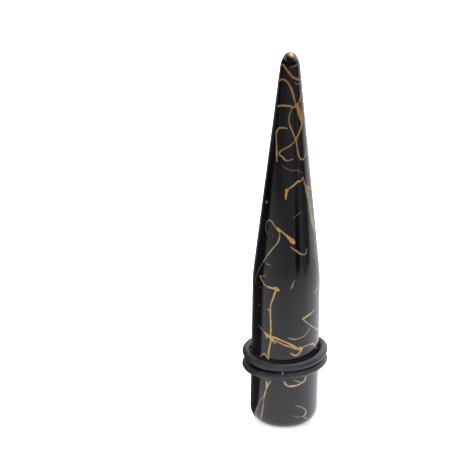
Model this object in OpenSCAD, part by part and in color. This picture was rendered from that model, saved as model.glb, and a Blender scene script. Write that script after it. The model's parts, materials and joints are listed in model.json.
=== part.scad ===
// Ear stretching taper: a 10 mm (00 gauge) spike with two rubber O-rings.
// It stands upright on its flat foot, with +Z along the spike and the front facing -Y.

/* [Taper] */
// Diameter of the straight shaft, which is the size the ear is stretched to
shaft_d = 10; // [8:0.5:14]
// Height from the foot to the very tip
taper_length = 58.35; // [50:0.05:70]
// Height at which the shaft starts to narrow
straight_length = 23.2; // [19:0.1:28]
// Radius of the ball at the very tip
tip_r = 1.05; // [0.8:0.05:1.5]
// How much bigger the ball would be that the straight cone ends in, if its nose weren't drawn in
nose_swell = 0.35; // [0.1:0.05:0.6]
// Radius of the curve that draws the cone in to the tip
nose_r = 4; // [3:0.5:8]
// Radius that softens the rim of the foot
foot_edge_r = 2.3; // [1:0.1:3]
// Radius of the gentle bend between the shaft and the cone
shoulder_r = 25; // [10:1:40]

/* [O-rings] */
// Thickness of the round rubber cord
cord_d = 1.3; // [1:0.05:1.6]
// How much flatter than it is wide the lower ring's cord is pressed
lower_cord_squash = 0.2; // [0:0.05:0.4]
// Mean height of the lower ring's cord above the foot
lower_ring_height = 9.5; // [7:0.1:12]
// Space left between a ring and the shaft at their closest
ring_shaft_gap = 0.03; // [0.02:0.01:0.1]
// Space left between the two rings at their closest
ring_ring_gap = 0.04; // [0.03:0.01:0.2]

/* [How the rings sit] */
// Degrees that the upper ring's front half leans down
upper_front_dip = 6.8; // [4:0.1:7]
// Degrees that the upper ring's back half leans down
upper_back_dip = 1.5; // [1:0.1:3]
// Degrees that the upper ring rises from its left side to its right
upper_side_rise = 2.5; // [0:0.1:4]
// Degrees that the lower ring's front half leans down
lower_front_dip = 1.8; // [1:0.1:3]
// Degrees that the lower ring's back half leans down
lower_back_dip = 1.0; // [1:0.1:3]
// Degrees that the lower ring rises from its left side to its right
lower_side_rise = 5; // [0:0.1:6]

/* [Hidden] */
$fn = 96;

shaft_r = shaft_d / 2;
cord_r = cord_d / 2;

// The cone leans as if it ran on to a ball of its own at the tip without a corner.
cone_end_r = tip_r + nose_swell;
cone_run = taper_length - cone_end_r - straight_length;
cone_angle = acos(cone_end_r / norm([shaft_r, cone_run])) - atan2(cone_run, shaft_r);
shoulder_start = straight_length - shoulder_r * tan(cone_angle / 2);
shoulder_end = shoulder_start + shoulder_r * sin(cone_angle);
shoulder_end_r = shaft_r - shoulder_r * (1 - cos(cone_angle));

// The nose is an arc that leaves the cone and meets the ball of the tip, both without a corner.
tip_ball_height = taper_length - tip_r;
nose_reach = nose_r - tip_r;
nose_bend = acos((nose_r - cone_end_r + nose_swell * sin(cone_angle)) / nose_reach);
cap_angle = cone_angle + nose_bend;
nose_centre_r = -nose_reach * cos(cap_angle);
nose_centre_height = tip_ball_height - nose_reach * sin(cap_angle);
nose_start = nose_centre_height + nose_r * sin(cone_angle);
nose_start_r = nose_centre_r + nose_r * cos(cone_angle);
cap_height = tip_ball_height + tip_r * sin(cap_angle);

// Columns of a row that says how a ring sits
FRONT_DIP = 0;
BACK_DIP = 1;
SIDE_RISE = 2;
upper_sit = [upper_front_dip, upper_back_dip, upper_side_rise];
lower_sit = [lower_front_dip, lower_back_dip, lower_side_rise];

// A leaning ring needs a little more room round the shaft than a level one.
function widest_dip(sit) = max(abs(sit[FRONT_DIP]), abs(sit[BACK_DIP]));
function ring_lean(sit) = acos(cos(widest_dip(sit)) * cos(sit[SIDE_RISE]));
function ring_r(sit) = (shaft_r + ring_shaft_gap + cord_r) / cos(ring_lean(sit));

// The upper ring comes down until it all but touches the lower one, at the front and to the right.
front_closing = sin(upper_front_dip) - sin(lower_front_dip);
side_closing = sin(lower_side_rise) - sin(upper_side_rise);
ring_closing = max(ring_r(upper_sit), ring_r(lower_sit)) * norm([front_closing, side_closing]);
upper_ring_height = lower_ring_height + cord_d - lower_cord_squash / 2 + ring_ring_gap + ring_closing;

// A strip of the profile, given by its two heights so that the next strip begins just where it ends.
module strip(low, high, r) {
    polygon([[0, low], [r, low], [r, high], [0, high]]);
}

module foot_profile() {
    square([shaft_r - foot_edge_r, foot_edge_r]);
    intersection() {
        translate([shaft_r - foot_edge_r, foot_edge_r])
            circle(r = foot_edge_r);
        translate([shaft_r - foot_edge_r, 0])
            square(foot_edge_r);
    }
}

module shoulder_profile() {
    intersection() {
        translate([shaft_r - shoulder_r, shoulder_start])
            circle(r = shoulder_r, $fn = 720);
        strip(shoulder_start, shoulder_end, shaft_r);
    }
}

module nose_profile() {
    intersection() {
        translate([nose_centre_r, nose_centre_height])
            circle(r = nose_r, $fn = 360);
        strip(nose_start, cap_height, nose_start_r);
    }
}

module tip_profile() {
    intersection() {
        translate([0, tip_ball_height])
            circle(r = tip_r);
        strip(cap_height, taper_length, tip_r);
    }
}

module taper_profile() {
    foot_profile();
    strip(foot_edge_r, shoulder_start, shaft_r);
    shoulder_profile();
    polygon([[0, shoulder_end], [shoulder_end_r, shoulder_end], [nose_start_r, nose_start], [0, nose_start]]);
    nose_profile();
    tip_profile();
}

module taper() {
    color("#17181b")
        rotate_extrude()
            taper_profile();
}

// The cord cut across: a circle, or one that is pressed flatter.
module cord_section(squash) {
    for (side = squash > 0 ? [-1, 1] : [0])
        translate([side * squash / 2, 0])
            circle(r = cord_r - squash / 2);
    if (squash > 0)
        square([squash, cord_d - squash], center = true);
}

// Half of a ring, on the side that faces +Y, trimmed to a flat cut through the shaft's axis.
module half_ring(r, lean, squash) {
    reach = r + cord_d;
    intersection() {
        rotate([lean, 0, 0])
            rotate_extrude()
                translate([r, 0])
                    cord_section(squash);
        translate([-reach, 0, -reach])
            cube([2 * reach, reach, 2 * reach]);
    }
}

// A ring bent a little across its middle, as soft rubber is when it's pushed down at the front and back.
module o_ring(height, sit, squash) {
    half_bend = (sit[FRONT_DIP] + sit[BACK_DIP]) / 2;
    middle_lean = (sit[FRONT_DIP] - sit[BACK_DIP]) / 2;
    translate([0, 0, height])
        rotate([0, -sit[SIDE_RISE], 0])
            rotate([middle_lean, 0, 0]) {
                half_ring(ring_r(sit), -half_bend, squash);
                rotate([0, 0, 180])
                    half_ring(ring_r(sit), -half_bend, squash);
            }
}

module upper_o_ring() {
    color("#2c2c30")
        o_ring(upper_ring_height, upper_sit, 0);
}

module lower_o_ring() {
    color("#2c2c30")
        o_ring(lower_ring_height, lower_sit, lower_cord_squash);
}

taper();
upper_o_ring();
lower_o_ring();
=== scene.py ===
"""Look of the ear stretching taper: polished black acrylic with a gold drizzle, held by two rubber O-rings.

Every length is in metres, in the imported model's frame: +Z runs up the taper and the front faces -Y.
A place on the taper's skin is a turn and a height: turn 0 is the front and grows towards +X.
"""

import json
import logging
import math
from dataclasses import astuple, dataclass
from enum import Enum
from functools import cached_property
from typing import Sequence

import bmesh
import bpy
import numpy as np
from mathutils import Matrix, Vector

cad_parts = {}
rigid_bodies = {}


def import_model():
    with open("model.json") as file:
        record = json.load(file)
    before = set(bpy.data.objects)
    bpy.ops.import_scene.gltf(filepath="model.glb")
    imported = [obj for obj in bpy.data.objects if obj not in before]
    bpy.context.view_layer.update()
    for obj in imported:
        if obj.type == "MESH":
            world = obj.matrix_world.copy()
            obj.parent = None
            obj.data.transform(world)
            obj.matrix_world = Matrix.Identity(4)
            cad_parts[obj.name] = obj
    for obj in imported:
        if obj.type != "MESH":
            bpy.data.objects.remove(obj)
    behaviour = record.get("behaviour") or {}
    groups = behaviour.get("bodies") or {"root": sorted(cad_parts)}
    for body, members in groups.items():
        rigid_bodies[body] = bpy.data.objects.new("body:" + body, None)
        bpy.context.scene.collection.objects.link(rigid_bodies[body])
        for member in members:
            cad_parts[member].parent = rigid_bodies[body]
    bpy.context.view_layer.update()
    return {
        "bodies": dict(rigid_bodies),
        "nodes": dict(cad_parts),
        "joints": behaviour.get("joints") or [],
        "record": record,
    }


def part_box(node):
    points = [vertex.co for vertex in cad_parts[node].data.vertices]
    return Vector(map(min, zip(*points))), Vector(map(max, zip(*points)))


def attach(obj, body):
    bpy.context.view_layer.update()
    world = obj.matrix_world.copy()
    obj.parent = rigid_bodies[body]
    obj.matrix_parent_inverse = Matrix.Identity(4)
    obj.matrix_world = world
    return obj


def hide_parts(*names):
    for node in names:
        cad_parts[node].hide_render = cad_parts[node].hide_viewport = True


LOG = logging.getLogger("ear_stretching_taper")
MM = 0.001
FULL_TURN = 2 * math.pi
ROOT = "root"
RING_SEED = 5

Place = tuple[float, float]
Spot = tuple[float, float, float]
Colour = tuple[float, float, float]
Tones = tuple[tuple[float, Colour], ...]
Piece = bpy.types.Object
Socket = bpy.types.NodeSocket
Feed = Socket | float | Colour
Feeds = dict[str | int, Feed]
Faces = list[tuple[int, ...]]
Chains = list[Sequence[int]]


def grid_faces(rows: int, columns: int, round_rows: bool = False, round_columns: bool = False) -> Faces:
    """List the four-sided faces of a grid of points that is numbered row by row.

    Args:
        rows: how many rows of points there are.
        columns: how many points a row has.
        round_rows: whether the last row joins the first.
        round_columns: whether each row's last point joins its first.

    Returns:
        The point numbers of each face.
    """
    faces = []
    for row in range(rows if round_rows else rows - 1):
        here, beyond = row * columns, (row + 1) % rows * columns
        for column in range(columns if round_columns else columns - 1):
            after = (column + 1) % columns
            faces.append((here + column, here + after, beyond + after, beyond + column))
    return faces


def round_turn(steps: int) -> np.ndarray:
    """Spread steps evenly round a full turn, in radians from 0."""
    return np.arange(steps) * FULL_TURN / steps


def waver(rng: np.random.Generator, turn: np.ndarray, reach: float, orders: Sequence[int]) -> np.ndarray:
    """Add up slow waves round a full turn, each of a chance height and phase.

    Args:
        rng: gives the heights and phases.
        turn: where the waves are wanted, in radians.
        reach: the greatest height of one wave.
        orders: how many times each wave goes up and down in the turn.

    Returns:
        The sum of the waves.
    """
    total = np.zeros_like(turn)
    for order in orders:
        height = rng.uniform(-reach, reach)
        total += height * np.cos(order * turn + rng.uniform(0, FULL_TURN))
    return total


def spaced(values: Feeds) -> Feeds:
    """Put spaces for the underscores in the names of values."""
    return {name.replace("_", " "): value for name, value in values.items()}


def link(piece: Piece) -> Piece:
    """Put an object into the scene."""
    bpy.context.scene.collection.objects.link(piece)
    return piece


def hide_from(piece: Piece, *rays: str) -> None:
    """Hide an object from kinds of rays."""
    for ray in rays:
        setattr(piece, "visible_" + ray, False)


def new_piece(
    name: str,
    points: Sequence,
    faces: Faces,
    material: bpy.types.Material,
    smooth: int | None = None,
    **layers: np.ndarray,
) -> Piece:
    """Make a mesh and put it into the scene.

    Args:
        name: the piece's name.
        points: x, y and z of each point.
        faces: the point numbers of each face.
        material: the piece's finish.
        smooth: how many of the first faces are shaded smooth, or None for all of them.
        layers: a number for each point, by the name that the material reads it under.

    Returns:
        The piece.
    """
    mesh = bpy.data.meshes.new(name)
    mesh.from_pydata(np.asarray(points).tolist(), [], faces)
    count = len(faces)
    mesh.polygons.foreach_set("use_smooth", np.arange(count) < (count if smooth is None else smooth))
    for layer, values in layers.items():
        mesh.attributes.new(layer, "FLOAT", "POINT").data.foreach_set("value", values.astype(np.float32))
    mesh.materials.append(material)
    return link(bpy.data.objects.new(name, mesh))


@dataclass(frozen=True)
class TurnedForm:
    """The turned outline of the taper, from its flat foot over the shaft and the cone to its rounded tip."""

    shaft_radius: float
    length: float
    straight_length: float = 23.2 * MM
    tip_radius: float = 1.05 * MM
    nose_swell: float = 0.35 * MM
    nose_radius: float = 4 * MM
    foot_edge_radius: float = 2.3 * MM
    shoulder_radius: float = 25 * MM
    arc_points: int = 60

    @classmethod
    def from_frame(cls, node: str) -> "TurnedForm":
        """Take the shaft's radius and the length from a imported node."""
        _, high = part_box(node)
        return cls(shaft_radius=high.x, length=high.z)

    @cached_property
    def cone_angle(self) -> float:
        """Angle between the cone's side and its axis, as if the cone ran on to a ball without a corner."""
        end_radius = self.tip_radius + self.nose_swell
        run = self.length - end_radius - self.straight_length
        reach = math.hypot(self.shaft_radius, run)
        return math.acos(end_radius / reach) - math.atan2(run, self.shaft_radius)

    @cached_property
    def cap_angle(self) -> float:
        """Tilt of the skin where the arc of the nose meets the ball of the tip."""
        nose_reach = self.nose_radius - self.tip_radius
        narrowing = nose_reach - self.nose_swell * (1 - math.sin(self.cone_angle))
        return self.cone_angle + math.acos(narrowing / nose_reach)

    @cached_property
    def knots(self) -> np.ndarray:
        """Rows of radius, height, tilt of the outward normal above the horizon, and length along the skin."""
        upright, foot_edge, shoulder = math.pi / 2, self.foot_edge_radius, self.shoulder_radius
        shoulder_start = self.straight_length - shoulder * math.tan(self.cone_angle / 2)
        nose_reach = self.nose_radius - self.tip_radius
        ball_height = self.length - self.tip_radius
        nose_centre_radius = -nose_reach * math.cos(self.cap_angle)
        nose_centre_height = ball_height - nose_reach * math.sin(self.cap_angle)
        arcs = (
            (self.shaft_radius - foot_edge, foot_edge, foot_edge, -upright, 0.0),
            (self.shaft_radius - shoulder, shoulder_start, shoulder, 0.0, self.cone_angle),
            (nose_centre_radius, nose_centre_height, self.nose_radius, self.cone_angle, self.cap_angle),
            (0.0, ball_height, self.tip_radius, self.cap_angle, upright),
        )
        rows = []
        for centre_radius, centre_height, radius, begin, end in arcs:
            tilt = np.linspace(begin, end, self.arc_points)
            height = centre_height + radius * np.sin(tilt)
            rows.append(np.stack([centre_radius + radius * np.cos(tilt), height, tilt], axis=1))
        outline = np.concatenate(rows)
        steps = np.hypot(*np.diff(outline[:, :2], axis=0).T)
        return np.column_stack([outline, np.concatenate([[0.0], np.cumsum(steps)])])

    @property
    def skin_length(self) -> float:
        """Length of the outline from the rim of the foot's flat face to the very tip."""
        return float(self.knots[-1, 3])

    def along_at(self, height: np.ndarray) -> np.ndarray:
        """Length along the skin at a height."""
        return np.interp(height, self.knots[:, 1], self.knots[:, 3])

    def radius_at(self, along: np.ndarray) -> np.ndarray:
        """Radius of the skin at a length along it."""
        return np.interp(along, self.knots[:, 3], self.knots[:, 0])

    def skin(self, turn: np.ndarray, along: np.ndarray, lift: np.ndarray) -> np.ndarray:
        """Find points on the skin, or a little off it.

        Args:
            turn: turns in radians, 0 at the front.
            along: lengths along the skin.
            lift: how far each point stands off the skin, outwards.

        Returns:
            One row of x, y and z for each point.
        """
        height, tilt = (np.interp(along, self.knots[:, 3], self.knots[:, column]) for column in (1, 2))
        radius = self.radius_at(along) + lift * np.cos(tilt)
        height = height + lift * np.sin(tilt)
        return np.stack([radius * np.sin(turn), -radius * np.cos(turn), height], axis=-1)


class Weight(Enum):
    """How much paint a thread carries: half its width, and its load, from 0 for none to 1 for a full bead."""

    FAINT = (0.08 * MM, 0.2)
    DIM = (0.11 * MM, 0.27)
    THIN = (0.125 * MM, 0.37)
    FINE = (0.125 * MM, 0.56)
    MEDIUM = (0.152 * MM, 0.78)
    BOLD = (0.2 * MM, 1.0)
    RIBBON = (0.2 * MM, 0.62)
    BROAD = (0.36 * MM, 0.85)
    SMEAR = (0.19 * MM, 0.5)
    WASH = (0.42 * MM, 0.33)


FAINT, DIM, THIN, FINE, MEDIUM, BOLD, RIBBON, BROAD, SMEAR, WASH = Weight


@dataclass(frozen=True)
class Thread:
    """One thread of paint, by the places it runs through: turns in degrees and heights in millimetres."""

    weight: Weight
    path: tuple[Place, ...]
    runs_on: bool = False


@dataclass(frozen=True)
class Drop:
    """A spot where the paint has pooled, by its place, its radius in millimetres and its load."""

    turn: float
    height: float
    radius: float
    load: float = 1.0


FRONT_THREADS: tuple[Thread, ...] = (
    Thread(MEDIUM, ((20, 54.9), (0, 55.5), (-15, 56.0), (-27, 56.3), (-50, 56.7), (-80, 56.3)), True),
    Thread(BOLD, ((12, 55.1), (25, 54.85), (40, 54.65), (56, 54.4))),
    Thread(THIN, ((0, 56.5), (20, 56.6), (40, 56.7), (60, 56.6))),
    Thread(THIN, ((24, 54.15), (40, 53.9), (58, 53.7))),
    Thread(MEDIUM, ((-62, 54.2), (-35, 54.6), (-10, 54.2), (5, 53.4), (12, 52.8), (18, 52.1), (22, 51.4),
        (28, 50.8))),
    Thread(MEDIUM, ((-55, 50.3), (-30, 50.65), (0, 50.7), (10, 50.5), (22, 50.6), (34, 50.7))),
    Thread(MEDIUM, ((34, 50.7), (45, 51.2), (54, 51.8), (62, 52.6)), True),
    Thread(BROAD, ((33, 50.7), (40, 49.8), (46, 49.0), (50, 48.3))),
    Thread(MEDIUM, ((47, 48.9), (51, 48.1), (48, 47.5), (37, 46.6), (30, 46.1), (23, 45.7))),
    Thread(FINE, ((12, 50.5), (6, 50.0), (2, 49.5), (-2, 48.8), (0, 48.2), (5, 47.5), (10, 47.1), (17, 46.2),
        (23, 45.7))),
    Thread(MEDIUM, ((-6, 47.3), (-20, 47.35), (-38, 47.1), (-47, 46.3), (-44, 45.3), (-41, 44.5), (-38, 43.6),
        (-35, 42.1))),
    Thread(FINE, ((23, 45.5), (10, 44.95), (0, 44.6), (-10, 44.3), (-20, 44.0), (-29, 43.35), (-18, 42.95),
        (-12, 42.6), (-5, 42.45), (3, 42.5), (13, 42.7))),
    Thread(FINE, ((23, 45.6), (26, 44.5), (28, 43.9), (34, 42.7), (45, 42.35), (57, 42.8), (70, 43.6),
        (82, 43.9)), True),
    Thread(FAINT, ((-20, 41.7), (0, 41.15), (10, 40.95), (28, 40.9), (40, 40.3))),
    Thread(FAINT, ((26, 40.8), (27, 40.2))),
    Thread(MEDIUM, ((41, 39.6), (34, 39.2), (26, 39.2), (18, 38.85), (12, 38.6), (5, 38.3), (-3, 38.0))),
    Thread(BOLD, ((-3, 38.0), (-4, 37.4), (-5, 36.6))),
    Thread(FINE, ((41, 39.6), (44, 39.2), (46, 38.7), (50, 38.2), (60, 37.8), (70, 37.4), (82, 36.8)), True),
    Thread(FINE, ((47.5, 38.2), (52, 37.0), (55, 36.2), (57.5, 35.2), (60.5, 33.8), (65, 32.4))),
    Thread(WASH, ((51, 38.2), (55, 37.2), (58, 36.0), (60.5, 34.7), (63, 33.4), (66.5, 32.1), (70, 30.9))),
    Thread(FAINT, ((12, 33.7), (20, 34.1), (27, 34.4), (33, 34.5))),
    Thread(DIM, ((-42, 30.7), (-50, 31.5), (-49, 32.5), (-45, 32.9), (-41, 33.02))),
    Thread(FINE, ((-43, 33.0), (-40, 33.0), (-35, 32.9), (-25, 32.2), (-17, 31.85))),
    Thread(MEDIUM, ((-20, 31.95), (-12, 31.7), (-5, 31.3), (0, 31.0), (5, 30.6), (13, 30.0))),
    Thread(FINE, ((-17, 31.8), (-15, 31.2), (-18, 30.0), (-29, 28.8), (-40, 27.5), (-47, 26.5))),
    Thread(FAINT, ((-46, 26.65), (-50, 26.1), (-58, 25.0), (-62, 24.1), (-66, 23.2), (-62, 22.4))),
    Thread(THIN, ((7, 29.4), (13, 29.0), (20, 28.6), (27, 28.15), (37, 27.95), (40, 28.3), (41, 28.7))),
    Thread(THIN, ((-41, 26.45), (-36, 26.3), (-30, 26.35))),
    Thread(DIM, ((-40, 25.3), (-39, 24.7), (-43, 24.35), (-52, 24.2))),
    Thread(THIN, ((16, 24.2), (13.5, 24.1), (12, 23.7), (10, 23.2), (7.5, 23.05))),
    Thread(MEDIUM, ((-52, 24.1), (-45, 23.5), (-38, 23.0), (-29, 22.88))),
    Thread(BOLD, ((-30, 22.88), (-22, 22.85), (-14, 22.75))),
    Thread(MEDIUM, ((-16, 22.8), (-19, 22.2), (-23, 21.1), (-26, 20.3), (-27, 19.3), (-26, 17.5),
        (-25.5, 16.2), (-26, 15.2), (-25, 14.5), (-27, 13.5), (-29, 12.5), (-29, 11.4))),
    Thread(RIBBON, ((31, 17.95), (40, 18.25), (50, 18.5), (56, 18.8))),
    Thread(FINE, ((31, 17.95), (35, 17.5), (45, 16.75), (55, 16.1), (66, 15.4), (80, 14.8)), True),
    Thread(THIN, ((48, 16.5), (44, 15.95), (36, 15.3), (30, 15.05), (18, 14.85), (12, 14.95), (5, 15.15))),
    Thread(THIN, ((-54, 16.3), (-44, 15.9), (-38, 15.6))),
    Thread(BOLD, ((-38, 15.55), (-32, 15.2), (-25, 15.0))),
    Thread(FINE, ((-35, 14.7), (-30, 14.95), (-25, 15.0))),
    Thread(MEDIUM, ((-25, 15.22), (-22.8, 15.18), (-12.2, 14.88), (4.1, 14.33), (18.9, 13.55),
        (24.8, 13.21))),
    Thread(FINE, ((-25, 14.85), (-21.7, 14.67), (-9.3, 14.3), (-1.3, 14.0), (6, 13.78), (15.2, 13.4),
        (24, 13.1))),
    Thread(FINE, ((-24, 14.6), (-22, 14.38), (-16, 14.12))),
    Thread(RIBBON, ((27, 13.35), (30.5, 13.3), (27, 12.75), (23, 12.35), (17.3, 12.26), (10.3, 12.65))),
    Thread(FINE, ((28, 13.35), (33, 13.41), (47, 13.52), (56, 13.4), (62, 12.9), (68, 12.3))),
    Thread(SMEAR, ((50, 13.35), (57, 13.2), (63, 12.75), (68, 12.2))),
    Thread(MEDIUM, ((-47, 11.4), (-42, 11.85), (-36, 12.1), (-31, 11.5))),
    Thread(MEDIUM, ((-32, 8.0), (-32, 7.5), (-31.5, 6.9))),
    Thread(MEDIUM, ((-24, 8.0), (-29.5, 7.2), (-32, 6.7))),
    Thread(MEDIUM, ((-31.5, 7.0), (-33.5, 6.2), (-36, 5.4))),
    Thread(THIN, ((-36, 5.5), (-40, 5.0), (-46, 4.1), (-52, 3.1), (-58, 2.1), (-64, 1.3))),
    Thread(FINE, ((-35.5, 5.6), (-37.5, 4.2), (-39.5, 3.0), (-42, 1.9), (-46, 1.2))),
    Thread(RIBBON, ((0, 8.1), (2, 7.75), (6, 7.42), (12, 7.37))),
    Thread(MEDIUM, ((9, 7.38), (15, 7.37), (22, 7.42), (33, 7.75))),
    Thread(BOLD, ((33, 7.75), (37, 7.95), (39, 8.5))),
    Thread(FINE, ((16, 8.35), (21, 8.1), (30, 7.8))),
    Thread(THIN, ((20, 4.2), (31, 3.75), (38, 3.3))),
    Thread(MEDIUM, ((36, 3.45), (40, 3.1), (41, 2.7), (36, 2.2))),
    Thread(DIM, ((13, 2.7), (24, 2.3), (33, 2.2), (45, 1.6), (60, 1.0))),
    Thread(FAINT, ((7, 1.35), (17, 1.0))),
    Thread(FAINT, ((72, 28.8), (68, 29.3), (61, 29.0))),
    Thread(SMEAR, ((57, 21.5), (63, 21.9), (70, 22.6))),
)

FRONT_DROPS: tuple[Drop, ...] = (
    Drop(36, 54.7, 0.15),
    Drop(27, 50.7, 0.22),
    Drop(33, 50.68, 0.32),
    Drop(38, 50.35, 0.26),
    Drop(23, 45.65, 0.15),
    Drop(26, 39.2, 0.13),
    Drop(-3, 37.95, 0.21),
    Drop(49, 12.45, 0.13, 0.25),
    Drop(-20, 32.0, 0.18),
    Drop(-16.5, 31.75, 0.19),
    Drop(4, 30.75, 0.22),
    Drop(9.5, 30.35, 0.34),
    Drop(12.5, 30.05, 0.3),
    Drop(-17, 22.9, 0.27),
    Drop(-13.5, 22.65, 0.2),
    Drop(32, 17.97, 0.14),
    Drop(-34, 15.25, 0.26),
    Drop(-27, 15.05, 0.26),
    Drop(-22, 14.7, 0.2),
    Drop(26.5, 13.3, 0.22),
    Drop(-30.5, 19.3, 0.12),
    Drop(-57, 35.5, 0.27, 0.22),
    Drop(-37, 39.9, 0.14, 0.1),
    Drop(-30.5, 30.7, 0.09, 0.3),
    Drop(-50, 22.4, 0.13, 0.14),
    Drop(-52, 19.6, 0.15, 0.16),
    Drop(-55, 18.5, 0.12, 0.14),
)


@dataclass
class Drizzler:
    """Throws wandering threads of paint round the back, in the manner of those charted on the front."""

    form: TurnedForm
    rng: np.random.Generator
    front_edge: float = 88.0
    past_edge: float = 3.0
    edge_run: float = 0.3
    lowest: float = 1.3
    highest: float = 56.6
    step: float = 0.55
    steadiness: float = 0.8
    unrest: float = 2.2
    turns: Place = (95, 265)
    lengths: Place = (4, 13)
    carried_lengths: Place = (7, 15)
    branch_lengths: Place = (1.5, 5)
    branch_turns: Place = (0.8, 2.2)
    curls: tuple[float, ...] = (0.15, 0.3, 0.75)
    carried_curl: float = 0.35
    branch_curl: float = 0.4
    drop_share: float = 0.5
    drop_radii: Place = (0.16, 0.3)
    branch_share: float = 0.35
    fork_radii: Place = (0.14, 0.24)

    def radius_at(self, height: float) -> float:
        """Radius of the taper in millimetres, at a height in millimetres."""
        return float(self.form.radius_at(self.form.along_at(height * MM))) / MM

    def wander(self, start: Place, heading: float, length: float, curl: float) -> list[Place]:
        """Let one thread wander over the skin until it's spent or comes round to the front.

        Args:
            start: the place where the thread begins.
            heading: the way it sets off, in radians above the way of growing turn.
            length: how long it is, in millimetres.
            curl: how tightly it bends at most, in radians a millimetre.

        Returns:
            The places that the thread runs through.
        """
        turn, height = start
        path = [start]
        bend = self.rng.uniform(-curl, curl)
        for _ in range(int(length / self.step)):
            pull = self.rng.uniform(-curl, curl) * self.unrest
            bend = self.steadiness * bend + (1 - self.steadiness) * pull
            heading += bend * self.step
            turn += math.degrees(self.step * math.cos(heading) / self.radius_at(height))
            height += self.step * math.sin(heading)
            if not self.lowest < height < self.highest:
                heading = -heading
                height = min(max(height, self.lowest), self.highest)
            if abs((turn + 180) % 360 - 180) < self.front_edge:
                break
            path.append((turn, height))
        return path[::2] + path[-1:] if len(path) % 2 == 0 else path[::2]

    def carry_on(self, thread: Thread) -> Thread:
        """Take a charted thread on round the back.

        Args:
            thread: the thread, which ends at the side.

        Returns:
            A thread that begins at its last place.
        """
        (turn_before, height_before), (turn, height) = thread.path[-2:]
        aside = math.radians(turn - turn_before) * self.radius_at(height)
        heading = math.atan2(height - height_before, aside)
        beyond = math.copysign(self.front_edge + self.past_edge, turn)
        start = (beyond, height + math.tan(heading) * self.edge_run)
        path = self.wander(start, heading, self.rng.uniform(*self.carried_lengths), self.carried_curl)
        return Thread(thread.weight, (thread.path[-1], *path))

    def throw(self, count: int) -> tuple[list[Thread], list[Drop]]:
        """Throw threads over the back, some with a drop at their start and some with a branch.

        Args:
            count: how many long threads to throw.

        Returns:
            The threads and the drops.
        """
        rng, threads, drops = self.rng, [], []
        weights = (FAINT, FINE, FINE, MEDIUM, MEDIUM, BOLD)
        for number in range(count):
            height = self.lowest + (self.highest - self.lowest) * (number + rng.uniform(0, 1)) / count
            start = (rng.uniform(*self.turns), height)
            weight = weights[rng.integers(len(weights))]
            heading = rng.uniform(0, FULL_TURN)
            curl = rng.choice(self.curls)
            path = self.wander(start, heading, rng.uniform(*self.lengths), curl)
            if len(path) < 3:
                continue
            threads.append(Thread(weight, tuple(path)))
            if rng.random() < self.drop_share:
                drops.append(Drop(*path[0], rng.uniform(*self.drop_radii)))
            if rng.random() < self.branch_share:
                fork = path[len(path) // 2]
                heading += rng.uniform(*self.branch_turns)
                branch = self.wander(fork, heading, rng.uniform(*self.branch_lengths), self.branch_curl)
                if len(branch) > 2:
                    threads.append(Thread(FINE, tuple(branch)))
                    drops.append(Drop(*fork, rng.uniform(*self.fork_radii)))
        return threads, drops


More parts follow.
